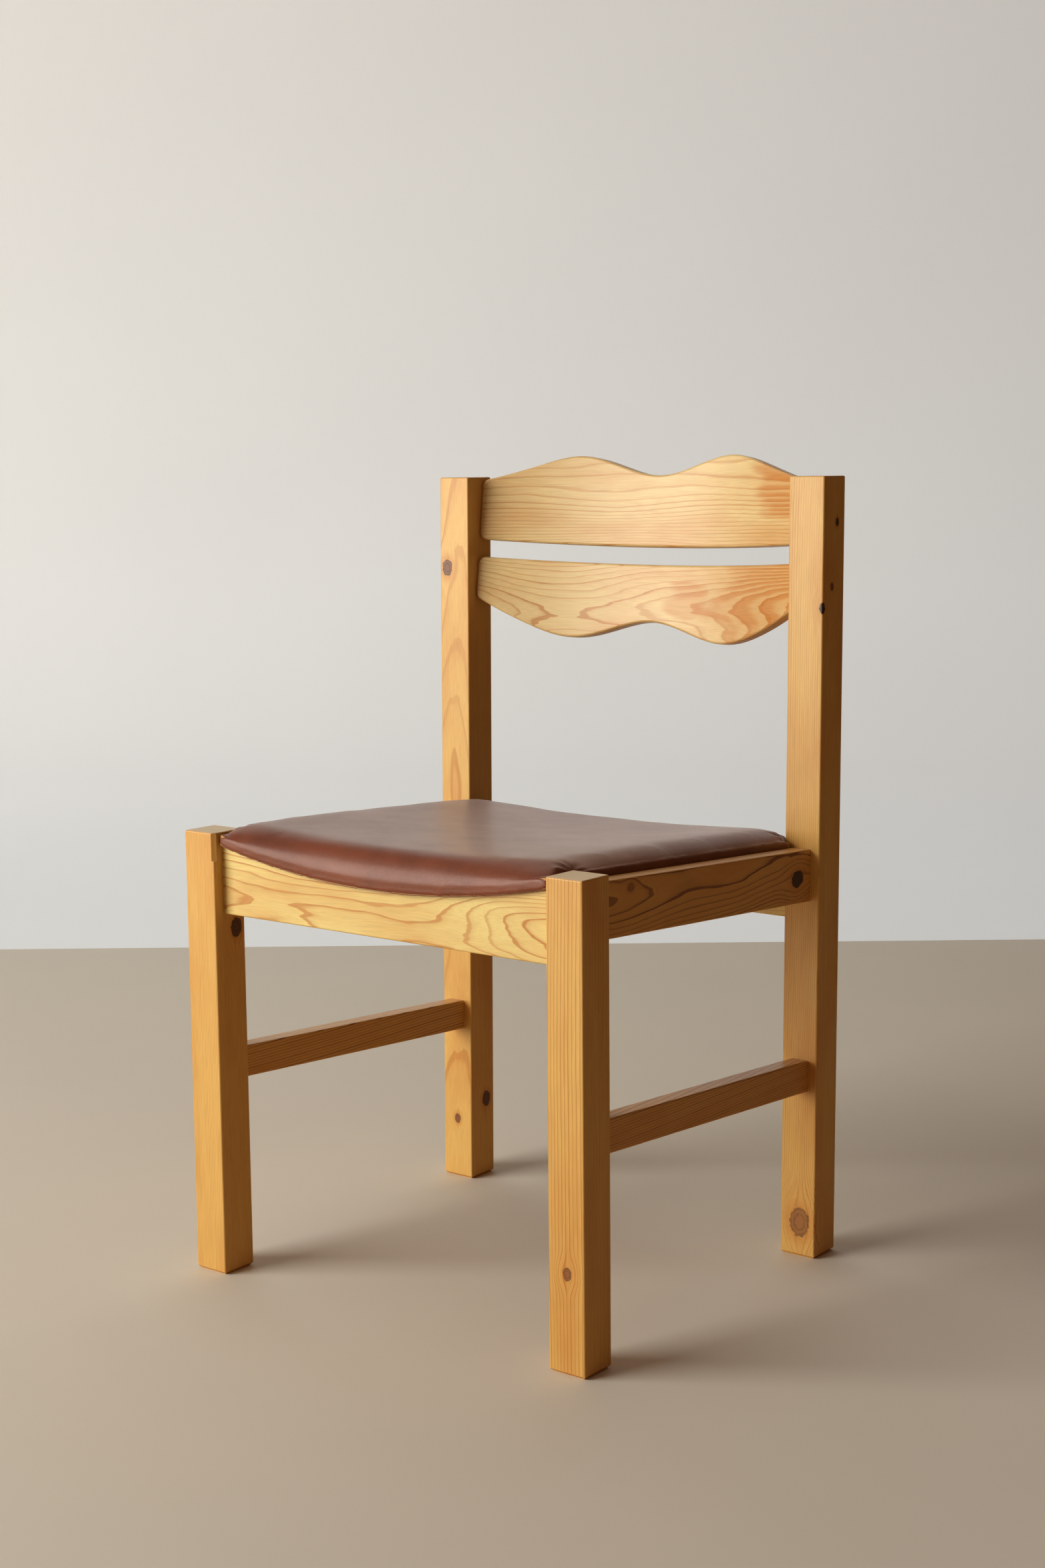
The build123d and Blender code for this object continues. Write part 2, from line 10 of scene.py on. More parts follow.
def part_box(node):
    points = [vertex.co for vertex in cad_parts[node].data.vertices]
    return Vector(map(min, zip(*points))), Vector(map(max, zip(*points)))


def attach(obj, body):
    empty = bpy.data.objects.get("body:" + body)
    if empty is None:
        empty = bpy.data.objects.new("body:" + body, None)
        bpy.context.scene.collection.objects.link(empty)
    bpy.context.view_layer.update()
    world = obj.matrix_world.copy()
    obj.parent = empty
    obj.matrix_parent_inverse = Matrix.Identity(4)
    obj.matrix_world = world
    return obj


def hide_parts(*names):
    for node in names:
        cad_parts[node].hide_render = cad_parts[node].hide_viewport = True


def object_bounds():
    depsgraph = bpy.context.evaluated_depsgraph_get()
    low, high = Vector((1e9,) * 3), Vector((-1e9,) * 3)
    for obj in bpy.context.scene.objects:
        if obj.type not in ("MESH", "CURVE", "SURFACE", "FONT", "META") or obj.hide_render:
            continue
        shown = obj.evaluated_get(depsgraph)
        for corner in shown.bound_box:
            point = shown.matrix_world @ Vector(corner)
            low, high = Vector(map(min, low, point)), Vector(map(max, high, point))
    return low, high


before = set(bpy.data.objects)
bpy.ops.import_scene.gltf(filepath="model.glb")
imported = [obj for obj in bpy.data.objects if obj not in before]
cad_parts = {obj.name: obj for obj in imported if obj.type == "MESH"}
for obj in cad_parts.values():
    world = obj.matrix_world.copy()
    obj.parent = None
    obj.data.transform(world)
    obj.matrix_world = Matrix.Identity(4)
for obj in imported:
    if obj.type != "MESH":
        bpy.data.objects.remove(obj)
cad_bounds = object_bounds()

bl_info = {
    "name": "Pine dining chair",
    "version": (1, 0, 0),
    "blender": (4, 5, 0),
    "location": "View3D > Sidebar > Chair",
    "description": "Finishes a dining chair in lacquered pine and brown leather",
    "category": "Object",
}

MM = 0.001

# The seat's own directions and levels: a dished board, sloping down to the back.
SEAT_SLOPE = radians(3.25)
SEAT_BACK = Vector((0, cos(SEAT_SLOPE), -sin(SEAT_SLOPE)))
SEAT_UP = Vector((0, sin(SEAT_SLOPE), cos(SEAT_SLOPE)))
SEAT_ORIGIN = Vector((0, cad_bounds[0].y, 444.6 * MM))
SEAT_BOTTOM = -30.8 * MM
DISH_RADIUS = 889.6 * MM
SEAT_HALF = 213.5 * MM
SEAT_START, SEAT_END = 5 * MM, 418 * MM
LEATHER = 1.2 * MM

# The opening in the leather under the board, and how high the leather counts as underside.
WINDOW_HALF = 185.5 * MM
WINDOW_START, WINDOW_END = 49 * MM, 374 * MM
FLAP_REACH = 4 * MM

# Faces that look down more than this are the underside.
LOOKS_DOWN = -0.7

# The pad is soft from here up, above the board, and is smoothed this many times.
SOFT_FROM = 3 * MM
SOFTENING = 12

# The roll of the seat's edge, above the underside: it swells out between the first two heights, stands out
# furthest up to the third, and is back in at the last.
ROLL = (1 * MM, 9 * MM, 13 * MM, 34 * MM)

SLAT_RADIUS = 489.4 * MM
LEGS = ("front_leg_left", "front_leg_right", "rear_post_left", "rear_post_right")

# Section of the backdrop, from where it meets the floor: how far back and how high, in metres.
SWEEP = (
    (0, 0), (0.55, 0.01), (0.85, 0.05), (1.05, 0.14), (1.18, 0.3), (1.24, 0.55), (1.26, 1.0), (1.26, 9.0),
)
# Half the width of each sheet, and how far the floor reaches in front of the chair.
FLOOR_HALF, BACKDROP_HALF, FLOOR_FRONT = 9.0, 2.0, -9.0
# The camera turns about this place, at the aim height.
AIM = Vector((0, -0.0124, 0))
SENSOR_WIDTH = 36

# Folds beside the legs: where they start and fade, and how closely they follow each other round the corner.
FOLD_START = 8 * MM
FOLD_LENGTH = 11 * MM
FOLDS = 7

# How far the leather is drawn down, in mm: along the front edge and further at its corners, at the rear
# corners, and along the sides. Each fades out over its own reach.
FRONT_DRAW, FRONT_CORNER_DRAW, FRONT_REACH = 1.5, 3.5, 200 * MM
REAR_CORNER_DRAW, REAR_REACH = 4, 70 * MM
SIDE_DRAW, SIDE_REACH = 3, 55 * MM

# The pad may swell from the first height above its underside, and in full from the second.
SWELL_FROM, SWELL_FULL = 2 * MM, 30 * MM
# It is held this far round each leg's corner.
CORNER_HOLD = 30 * MM
# The leather lies free of the legs from the first gap, and stands out in full from the second.
LEG_CLEAR, LEG_FREE = 2 * MM, 20 * MM

# The cloth run that swells the pad.
CLOTH_FRAMES, CLOTH_QUALITY, CLOTH_BENDING = 20, 5, 8


def linear(code):
    """Linear colour of an sRGB hex code, with alpha 1."""
    channels = [int(code[i:i + 2], 16) / 255 for i in (1, 3, 5)]
    return [c / 12.92 if c <= 0.04045 else ((c + 0.055) / 1.055) ** 2.4 for c in channels] + [1.0]


def colour_property(name, description, code):
    """A colour that the user can change, with a hex code as its default."""
    return FloatVectorProperty(
        name=name, description=description, default=linear(code), size=4, min=0, max=1, subtype="COLOR"
    )


# Sizes and colours

class PineLook(bpy.types.PropertyGroup):
    """Lacquered pine."""

    earlywood: colour_property("Earlywood", "Pale wood between the year rings", "#EEE09A")
    slat_wood: colour_property("Slat wood", "Palest wood, of the back slats", "#EAD6A0")
    leg_wood: colour_property("Leg wood", "Deeper toned wood of the legs and posts", "#E6C274")
    # Painted shade: the side rails show their shaded faces, so their wood is a darker, more orange copy of
    # the leg wood.
    shaded_rail_wood: colour_property("Side rail wood", "Deepest toned wood, of the side rails", "#E3B76C")
    latewood: colour_property("Latewood", "Dark line at the end of a year", "#BE782A")
    # Partly real grain and partly painted shade: the side rails' year lines are drawn darker because their
    # faces are in shade.
    rail_grain_and_shade: colour_property("Deep latewood", "Stronger year lines of the side rails", "#6E340E")
    amber: colour_property("Aged patches", "Wood that the light has turned orange", "#CC8534")
    knot_heart: colour_property("Knot heart", "Middle of a knot", "#8A5638")
    knot_rim: colour_property("Knot rim", "Dark bark ring round a knot", "#2E160C")
    # Partly real and partly painted: greyed end grain, and a painted pale reflection on the tops of the legs.
    end_grain_and_sheen: colour_property("End grain", "Cut ends of the timber, gone grey", "#ECE3C8")
    # Partly real wear and partly painted highlight: pale arrises along every rounded edge.
    worn_and_highlight: colour_property("Worn edge", "Arrises rubbed through to bare wood", "#EDCF9C")
    # The width of that pale edge, partly wear and partly painted highlight.
    wear: FloatProperty(
        name="Wear", default=1.6 * MM, unit="LENGTH", description="Width of the wear along an edge"
    )
    fibre: FloatProperty(
        name="Fibre width", description="Width of the finest streaks, in mm", default=0.5, min=0.1
    )
    roughness: FloatProperty(
        name="Lacquer roughness", default=0.40, min=0, max=1, description="Satin lacquer"
    )


class LeatherLook(bpy.types.PropertyGroup):
    """Finished cowhide."""

    dye: colour_property("Dye", "Brown of the leather", "#94553A")
    # Darker brown, mixed in along the hollows between the grain's pebbles and in random clouds; the folds are
    # not darkened.
    darker_brown: colour_property("Crease", "Darker brown in the pores and folds", "#5E2E1E")
    pebble: FloatProperty(
        name="Pebble size", description="Width of one grain pebble, in mm", default=1.1, min=0.2
    )
    roughness: FloatProperty(
        name="Finish roughness", default=0.37, min=0, max=1, description="Rubbed resin finish"
    )
    cell: FloatProperty(
        name="Cell", default=4.5 * MM, unit="LENGTH", description="Mesh cell of the pad"
    )
    pressure: FloatProperty(
        name="Pressure", default=4, description="Push of the stuffing on the leather"
    )
    swell: FloatProperty(
        name="Swell", default=3 * MM, unit="LENGTH", description="Most that the pad may swell"
    )
    roll: FloatProperty(
        name="Roll", default=2.5 * MM, unit="LENGTH", description="Most that the edge stands out"
    )
    fold: FloatProperty(
        name="Fold depth", default=0.7 * MM, unit="LENGTH", description="Depth of the folds at the legs"
    )


class StageLook(bpy.types.PropertyGroup):
    """Floor, backdrop, lights and camera."""

    floor: colour_property("Floor", "Plain pale floor", "#E8E7DE")
    # Painted bounce light: the floor throws this warmer colour onto the chair, while the camera sees the
    # plain floor colour.
    floor_bounce_tint: colour_property("Floor glow", "Warm tone of the light that the floor throws back", "#DFC6A0")
    backdrop: colour_property("Backdrop", "Plain pale wall", "#D2D7D9")
    gamma: FloatProperty(
        name="Gamma", default=0.88, min=0.5, max=2, description="Contrast of the picture"
    )
    exposure: FloatProperty(
        name="Exposure", default=0.08, description="Brightness of the picture, in stops"
    )
    floor_end: FloatProperty(
        name="Floor end", default=1.53, unit="LENGTH", description="Floor behind the chair"
    )
    room: colour_property("Room tint", "Warm light that the room throws back", "#FFB680")
    room_light: FloatProperty(
        name="Room light", default=0.10, min=0, description="Strength of the light all round"
    )
    backdrop_glow: FloatProperty(
        name="Backdrop glow", default=0.40, min=0, description="Light on the backdrop itself"
    )
    key_power: FloatProperty(
        name="Window light", default=188, min=0, subtype="POWER", description="Soft light, front left"
    )
    fill_power: FloatProperty(
        name="Top light", default=11, min=0, subtype="POWER", description="Weak light from above"
    )
    azimuth: FloatProperty(
        name="Azimuth", default=radians(38.2), subtype="ANGLE", description="Camera, round the chair"
    )
    elevation: FloatProperty(
        name="Elevation", default=radians(7.95), subtype="ANGLE", description="Camera, above level"
    )
    roll: FloatProperty(
        name="Roll", default=radians(-0.55), subtype="ANGLE", description="Camera, about its axis"
    )
    distance: FloatProperty(
        name="Distance", default=2.307, unit="LENGTH", description="Camera to the middle of the chair"
    )
    aim_height: FloatProperty(
        name="Aim height", default=0.4885, unit="LENGTH", description="Height of the middle of the view"
    )
    lens: FloatProperty(name="Lens", default=53.0, unit="CAMERA", description="Focal length")


# Nodes

def add(tree, kind, inputs=(), stops=(), out=0, **settings):
    """Add a node with its settings, its inputs as values or links, and its ramp's stops; return an output."""
    node = tree.nodes.new(kind)
    for name, value in settings.items():
        setattr(node, name, value)
    for key, value in dict(inputs).items():
        if isinstance(value, bpy.types.NodeSocket):
            tree.links.new(value, node.inputs[key])
        else:
            node.inputs[key].default_value = value
    for number, (position, colour) in enumerate(stops):
        elements = node.color_ramp.elements
        element = elements[number] if number < len(elements) else elements.new(position)
        element.position, element.color = position, colour
    return node.outputs[out] if node.outputs else node


def new_material(name):
    """An empty node material and its tree."""
    material = bpy.data.materials.new(name)
    material.use_nodes = True
    material.node_tree.nodes.clear()
    return material, material.node_tree


def give(node, material):
    """Put a material on a CAD node."""
    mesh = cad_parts[node].data
    mesh.materials.clear()
    mesh.materials.append(material)


# Pine

# One year's growth, from the pale spring wood to the thin dark line that ends it: place and darkness.
YEAR = ((0.0, 0.08), (0.05, 0.0), (0.60, 0.05), (0.80, 0.30), (0.88, 1.0), (0.97, 0.9))

GRAIN_ORDER = {"X": (1, 2, 0), "Y": (2, 0, 1), "Z": (0, 1, 2)}

# How quickly each unevenness changes, per metre: twice across the log, then along it.
STRAY_SCALE = (9, 9, 2.6)
SHAKE_SCALE = (60, 60, 11)
CLOUD_SCALE = (26, 26, 7)
SPOT_SCALE = (120, 120, 120)
RIPPLE_SCALE = 260.0
MIDDLE = (0.5, 0.5, 0.5)

# A fibre is this many times as long as it is wide.
FIBRE_STRETCH = 60

# A knot is longer along the grain: distances that way count for less.
KNOT_SQUEEZE = 0.74
# Round a knot, in its radii: from where to where it pulls the rings close, where its own rings end, how far
# out it is dark, and how far its amber glow reaches; then the strength of the pull and of the glow.
KNOT_PULLED, KNOT_EDGE, KNOT_DARK, KNOT_GLOW = (0.4, 4.5), (0.92, 1.12), 1.3, (0.9, 2.4)
PULL, GLOW = 0.85, 0.55
# A stain fades between these shares of its radius, is ragged by as much as this share, and is this strong.
STAIN_EDGE, STAIN_RAGGED, STAIN_STRENGTH = (0.7, 1.15), 0.6, 0.75
# A face counts as end grain as it turns towards the grain, between these; then its grey tone, partly real and
# partly a painted pale reflection.
END_FACE, END_GREY_AND_SHEEN = (0.75, 0.97), 0.78


def log_place(tree, place, grain, pith):
    """Position in the log: X and Y across it from the pith, Z along the grain."""
    moved = add(tree, "ShaderNodeVectorMath", {0: place, 1: pith}, operation="SUBTRACT")
    split = tree.nodes.new("ShaderNodeSeparateXYZ")
    tree.links.new(moved, split.inputs[0])
    across_x, across_y, along = (split.outputs[i] for i in GRAIN_ORDER[grain])
    return add(tree, "ShaderNodeCombineXYZ", {0: across_x, 1: across_y, 2: along})


def unbent_place(tree, place, centre_y, radius):
    """Position on a slat as if its bend were taken out: Y becomes the depth behind its bent face."""
    split = tree.nodes.new("ShaderNodeSeparateXYZ")
    tree.links.new(place, split.inputs[0])
    x, y, z = split.outputs
    from_centre = add(tree, "ShaderNodeMath", {0: y, 1: centre_y}, operation="SUBTRACT")
    flat = add(tree, "ShaderNodeCombineXYZ", {0: x, 1: from_centre})
    reach = add(tree, "ShaderNodeVectorMath", {0: flat}, operation="LENGTH", out=1)
    depth = add(tree, "ShaderNodeMath", {0: reach, 1: radius}, operation="SUBTRACT")
    return add(tree, "ShaderNodeCombineXYZ", {0: x, 1: depth, 2: z})


def pine(
    name, look, grain, pith, ring, wander, knots=(), stains=(), bend=None, seed=0.0, depth=1.0, base=None,
    line=None,
):
    """Sawn and sanded pine under satin lacquer: pale wood ruled by thin orange year lines, with dark knots
    that the lines flow round. ring is the width of a year ring and wander how far the rings stray, both
    in metres. A knot is (x, y, z, radius, blackness, cover) and a stain (x, y, z, radius). depth is the
    strength of the year lines, base the wood between them and line their colour."""
    material, tree = new_material(name)
    outward = add(tree, "ShaderNodeTexCoord", out=1)
    place = add(tree, "ShaderNodeTexCoord", out=3)
    if bend:
        place = unbent_place(tree, place, *bend)
    axis = "XYZ".index(grain)

    # Each knot pushes the rings aside, and covers them with its own rings.
    ripple = add(tree, "ShaderNodeTexNoise", {"Vector": place, "Scale": RIPPLE_SCALE, "Detail": 2.0}, out=1)
    ripple = add(tree, "ShaderNodeVectorMath", {0: ripple, 1: MIDDLE}, operation="SUBTRACT")
    nearest, blackness, halo, cover = 9.0, 0.0, 0.0, 0.0
    bent = place
    oval = [1.0, 1.0, 1.0]
    oval[axis] = KNOT_SQUEEZE
    for x, y, z, radius, black, share in knots:
        offset = add(tree, "ShaderNodeVectorMath", {0: place, 1: (x, y, z)}, operation="SUBTRACT")
        rough = add(tree, "ShaderNodeVectorMath", {0: ripple, "Scale": radius * 0.6}, operation="SCALE")
        rough = add(tree, "ShaderNodeVectorMath", {0: offset, 1: rough}, operation="ADD")
        rough = add(tree, "ShaderNodeVectorMath", {0: rough, 1: oval}, operation="MULTIPLY")
        away = add(tree, "ShaderNodeVectorMath", {0: rough}, operation="LENGTH", out=1)
        away = add(tree, "ShaderNodeMath", {0: away, 1: radius}, operation="DIVIDE")
        pull = add(
            tree, "ShaderNodeMapRange", {0: away, 1: KNOT_PULLED[0], 2: KNOT_PULLED[1], 3: PULL, 4: 0.0},
            interpolation_type="SMOOTHERSTEP",
        )
        pulled = add(tree, "ShaderNodeVectorMath", {0: offset, "Scale": pull}, operation="SCALE")
        bent = add(tree, "ShaderNodeVectorMath", {0: bent, 1: pulled}, operation="SUBTRACT")
        near = add(tree, "ShaderNodeMath", {0: away, 1: KNOT_DARK}, operation="LESS_THAN")
        near = add(tree, "ShaderNodeMath", {0: near, 1: black}, operation="MULTIPLY")
        blackness = add(tree, "ShaderNodeMath", {0: blackness, 1: near}, operation="MAXIMUM")
        nearest = add(tree, "ShaderNodeMath", {0: nearest, 1: away}, operation="MINIMUM")
        shown = add(
            tree, "ShaderNodeMapRange", {0: away, 1: KNOT_EDGE[0], 2: KNOT_EDGE[1], 3: share, 4: 0.0},
            interpolation_type="SMOOTHSTEP",
        )
        cover = add(tree, "ShaderNodeMath", {0: cover, 1: shown}, operation="MAXIMUM")
        glow = add(
            tree, "ShaderNodeMapRange", {0: away, 1: KNOT_GLOW[0], 2: KNOT_GLOW[1], 3: GLOW, 4: 0.0},
            interpolation_type="SMOOTHSTEP",
        )
        halo = add(tree, "ShaderNodeMath", {0: halo, 1: glow}, operation="MAXIMUM")

    # The rings stray slowly along the log, which draws arches and ovals on a flat sawn face.
    log = log_place(tree, bent, grain, pith)
    slow = add(tree, "ShaderNodeMapping", {0: log, 1: (seed, seed * 2, seed * 3), 3: STRAY_SCALE})
    stray = add(tree, "ShaderNodeTexNoise", {"Vector": slow, "Scale": 1.0, "Detail": 1.0}, out=1)
    stray = add(tree, "ShaderNodeVectorMath", {0: stray, 1: MIDDLE}, operation="SUBTRACT")
    stray = add(tree, "ShaderNodeVectorMath", {0: stray, "Scale": wander}, operation="SCALE")
    quick = add(tree, "ShaderNodeMapping", {0: log, 1: (seed, seed, seed), 3: SHAKE_SCALE})
    shake = add(tree, "ShaderNodeTexNoise", {"Vector": quick, "Scale": 1.0, "Detail": 2.0}, out=1)
    shake = add(tree, "ShaderNodeVectorMath", {0: shake, 1: MIDDLE}, operation="SUBTRACT")
    shaken = 0.05 * wander + 0.5 * MM
    shake = add(tree, "ShaderNodeVectorMath", {0: shake, "Scale": shaken}, operation="SCALE")
    strayed = add(tree, "ShaderNodeVectorMath", {0: log, 1: stray}, operation="ADD")
    strayed = add(tree, "ShaderNodeVectorMath", {0: strayed, 1: shake}, operation="ADD")
    flat = add(tree, "ShaderNodeVectorMath", {0: strayed, 1: (1, 1, 0)}, operation="MULTIPLY")
    reach = add(tree, "ShaderNodeVectorMath", {0: flat}, operation="LENGTH", out=1)

    # Year rings: pale earlywood deepens into a thin line of latewood and ends sharply.
    count = add(tree, "ShaderNodeMath", {0: reach, 1: ring}, operation="DIVIDE")
    whole = add(tree, "ShaderNodeMath", {0: count}, operation="FLOOR")
    part = add(tree, "ShaderNodeMath", {0: count}, operation="FRACT")
    luck = add(tree, "ShaderNodeTexWhiteNoise", {"W": whole}, noise_dimensions="1D")
    late = add(
        tree, "ShaderNodeValToRGB", {0: part},
        stops=[(at, (value, value, value, 1)) for at, value in YEAR],
    )
    strength = add(tree, "ShaderNodeMapRange", {0: luck, 3: 0.45 * depth, 4: depth})
    late = add(tree, "ShaderNodeMath", {0: late, 1: strength}, operation="MULTIPLY")
    wood = add(
        tree, "ShaderNodeMix", {0: late, 6: base or look.earlywood, 7: line or look.latewood},
        data_type="RGBA", out=2,
    )

    # Amber clouds, where the wood has aged unevenly, and stains.
    cloud_place = add(tree, "ShaderNodeMapping", {0: log, 1: (seed, 0, 0), 3: CLOUD_SCALE})
    cloud = add(tree, "ShaderNodeTexNoise", {"Vector": cloud_place, "Scale": 1.0, "Detail": 3.0})
    aged = add(tree, "ShaderNodeMapRange", {0: cloud, 1: 0.42, 2: 0.75, 3: 0.0, 4: 0.45})
    aged = add(tree, "ShaderNodeMath", {0: aged, 1: halo}, operation="MAXIMUM")
    band = add(
        tree, "ShaderNodeMapRange", {0: part, 1: 0.2, 2: 0.6, 3: 0.55, 4: 1.0},
        interpolation_type="SMOOTHSTEP",
    )
    for x, y, z, radius in stains:
        offset = add(tree, "ShaderNodeVectorMath", {0: bent, 1: (x, y, z)}, operation="SUBTRACT")
        offset = add(tree, "ShaderNodeVectorMath", {0: offset, 1: oval}, operation="MULTIPLY")
        away = add(tree, "ShaderNodeVectorMath", {0: offset}, operation="LENGTH", out=1)
        rag = STAIN_RAGGED * radius
        ragged = add(tree, "ShaderNodeMapRange", {0: cloud, 1: 0.2, 2: 0.8, 3: -rag, 4: rag})
        away = add(tree, "ShaderNodeMath", {0: away, 1: ragged}, operation="ADD")
        stain = add(
            tree, "ShaderNodeMapRange",
            {0: away, 1: STAIN_EDGE[0] * radius, 2: STAIN_EDGE[1] * radius, 3: STAIN_STRENGTH, 4: 0.0},
            interpolation_type="SMOOTHSTEP",
        )
        stain = add(tree, "ShaderNodeMath", {0: stain, 1: band}, operation="MULTIPLY")
        aged = add(tree, "ShaderNodeMath", {0: aged, 1: stain}, operation="MAXIMUM")
    wood = add(tree, "ShaderNodeMix", {0: aged, 6: wood, 7: look.amber}, data_type="RGBA", out=2)

    # Fibres, the finest streaks along the grain.
    fine = 1 / (look.fibre * MM)
    fibre_place = add(tree, "ShaderNodeMapping", {0: strayed, 3: (fine, fine, fine / FIBRE_STRETCH)})
    fibre = add(
        tree, "ShaderNodeTexNoise", {"Vector": fibre_place, "Scale": 1.0, "Detail": 3.0, "Roughness": 0.6}
    )
    shade = add(tree, "ShaderNodeMapRange", {0: fibre, 1: 0.25, 2: 0.75, 3: 0.84, 4: 1.08})
    wood = add(tree, "ShaderNodeVectorMath", {0: wood, "Scale": shade}, operation="SCALE")

    if knots:
        rim, heart = look.knot_rim, look.knot_heart
        knot_colour = add(
            tree, "ShaderNodeValToRGB", {0: nearest},
            stops=[
                (0.0, rim), (0.1, heart), (0.42, heart), (0.56, rim),
                (0.66, heart), (0.82, heart), (0.93, rim),
            ],
        )
        knot_colour = add(
            tree, "ShaderNodeMix", {0: blackness, 6: knot_colour, 7: rim}, data_type="RGBA", out=2
        )
        wood = add(tree, "ShaderNodeMix", {0: cover, 6: wood, 7: knot_colour}, data_type="RGBA", out=2)

    # End grain drinks the lacquer and goes grey, partly a painted pale reflection on the leg tops; the
    # arrises are rubbed pale, partly a painted highlight.
    split = tree.nodes.new("ShaderNodeSeparateXYZ")
    tree.links.new(outward, split.inputs[0])
    end = add(tree, "ShaderNodeMath", {0: split.outputs[axis]}, operation="ABSOLUTE")
    end = add(tree, "ShaderNodeMapRange", {0: end, 1: END_FACE[0], 2: END_FACE[1], 3: 0.0, 4: END_GREY_AND_SHEEN})
    wood = add(tree, "ShaderNodeMix", {0: end, 6: wood, 7: look.end_grain_and_sheen}, data_type="RGBA", out=2)
    # Pale arrises from the bevel: partly rubbed lacquer, partly a painted highlight along each edge.
    rounded = add(tree, "ShaderNodeBevel", {"Radius": look.wear}, samples=4)
    true = add(tree, "ShaderNodeNewGeometry", out=1)
    match = add(tree, "ShaderNodeVectorMath", {0: rounded, 1: true}, operation="DOT_PRODUCT", out=1)
    worn_and_highlight = add(tree, "ShaderNodeMapRange", {0: match, 1: 0.99, 2: 0.86, 3: 0.0, 4: 1.0})
    spot_place = add(tree, "ShaderNodeMapping", {0: place, 3: SPOT_SCALE})
    spots = add(tree, "ShaderNodeTexNoise", {"Vector": spot_place, "Scale": 1.0, "Detail": 3.0})
    spots = add(tree, "ShaderNodeMapRange", {0: spots, 1: 0.42, 2: 0.62, 3: 0.05, 4: 0.5})
    worn_and_highlight = add(tree, "ShaderNodeMath", {0: worn_and_highlight, 1: spots}, operation="MULTIPLY")
    wood = add(tree, "ShaderNodeMix", {0: worn_and_highlight, 6: wood, 7: look.worn_and_highlight}, data_type="RGBA", out=2)

    gloss = add(
        tree, "ShaderNodeMapRange",
        {0: fibre, 1: 0.3, 2: 0.7, 3: look.roughness + 0.06, 4: look.roughness - 0.04},
    )
    dull = add(tree, "ShaderNodeMath", {0: end, 1: 0.3}, operation="MULTIPLY")
    gloss = add(tree, "ShaderNodeMath", {0: gloss, 1: dull}, operation="ADD")
    height = add(tree, "ShaderNodeMath", {0: late, 1: 0.35}, operation="MULTIPLY")
    height = add(tree, "ShaderNodeMath", {0: height, 1: fibre}, operation="ADD")
    normal = add(tree, "ShaderNodeBump", {"Strength": 0.25, "Distance": 0.12 * MM, "Height": height})
    shader = add(
        tree, "ShaderNodeBsdfPrincipled",
        {
            "Base Color": wood, "Roughness": gloss, "IOR": 1.5, "Normal": normal,
            "Coat Weight": 0.3, "Coat Roughness": 0.28,
        },
    )
    add(tree, "ShaderNodeOutputMaterial", {0: shader})
    return material


def part_of(node, x, y, z):
    """A place in a CAD node's box, from shares of its sides."""
    low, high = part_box(node)
    return Vector(a + (b - a) * share for a, b, share in zip(low, high, (x, y, z)))


class CHAIR_OT_legs(bpy.types.Operator):
    """Finish the front legs and the rear posts in pine"""

    bl_idname = "chair.legs"
    bl_label = "Legs and posts"

    def execute(self, context):
        look = context.scene.chair_pine
        # Where the pith lay in the log, the ring width and its wander in mm, and the knots on each piece.
        cuts = {
            "front_leg_left": ((3.6, 3.1, 0), 1.5, 5, 0.7, [(1.0, 0.70, 0.783, 7, 0.7, 0.95)]),
            "front_leg_right": ((2.7, 3.7, 0), 2.0, 6, 0.95, [(0.52, 0.0, 0.209, 4.5, 0.0, 0.8)]),
            "rear_post_left": (
                (0.6, -2.3, 0), 2.2, 18, 0.6,
                [
                    (0.25, 0.15, 0.875, 6.5, 0.2, 0.95), (0.49, 0.0, 0.086, 4, 0.1, 0.85),
                    (1.0, 0.57, 0.112, 6.5, 0.6, 0.95),
                ],
            ),
            "rear_post_right": (
                (-2.9, 3.4, 0), 1.7, 7, 0.75,
                [
                    (0.56, 0.0, 0.046, 11, 0.0, 0.65), (1.0, 0.68, 0.943, 3, 0.9, 0.9),
                    (1.0, 0.5, 0.863, 3, 0.7, 0.8), (1.0, 0.14, 0.837, 4, 1.0, 1.0),
                ],
            ),
        }
        for number, (node, (pith, ring, wander, depth, knots)) in enumerate(cuts.items()):
            places = [(*part_of(node, *knot[:3]), knot[3] * MM, *knot[4:]) for knot in knots]
            give(node, pine(
                f"lacquered_pine_{node}", look, "Z", part_of(node, *pith), ring * MM, wander * MM, places,
                seed=number + 1.7, depth=depth, base=look.leg_wood,
            ))
        return {"FINISHED"}


class CHAIR_OT_rails(bpy.types.Operator):
    """Finish the aprons and stretchers in pine"""

    bl_idname = "chair.rails"
    bl_label = "Aprons and stretchers"

    def execute(self, context):
        look = context.scene.chair_pine
        cuts = {
            "front_apron": ("X", (0, 5.0, 0.30), 1.3, 26, 0.85, []),
            "rear_apron": ("X", (0, -4.0, 0.6), 2.6, 26, 0.6, []),
            "side_apron_right": (
                "Y", (4.5, 0, 0.8), 2.0, 30, 1.0,
                [(1.0, 0.93, 0.36, 8, 0.9, 1.0), (1.0, 0.13, 0.84, 4, 0.3, 0.5)],
            ),
            "side_apron_left": ("Y", (-5.0, 0, 1.8), 2.3, 15, 1.0, [(0.0, 0.35, 0.6, 5, 0.5, 0.9)]),
            "side_stretcher_right": ("Y", (3.5, 0, -2.2), 2.4, 6, 1.0, []),
            "side_stretcher_left": ("Y", (-3.7, 0, -1.9), 2.4, 6, 1.0, []),
        }
        for number, (node, (grain, pith, ring, wander, depth, knots)) in enumerate(cuts.items()):
            places = [(*part_of(node, *knot[:3]), knot[3] * MM, *knot[4:]) for knot in knots]
            side = node.startswith("side")
            give(node, pine(
                f"lacquered_pine_{node}", look, grain, part_of(node, *pith), ring * MM, wander * MM, places,
                # The side rails take the painted-shade copy of the wood.
                seed=number + 11.3, depth=depth, base=look.shaded_rail_wood if side else look.earlywood,
                # Darker year lines on the side rails: partly real grain, partly painted shade.
                line=look.rail_grain_and_shade if side else look.latewood,
            ))
        return {"FINISHED"}


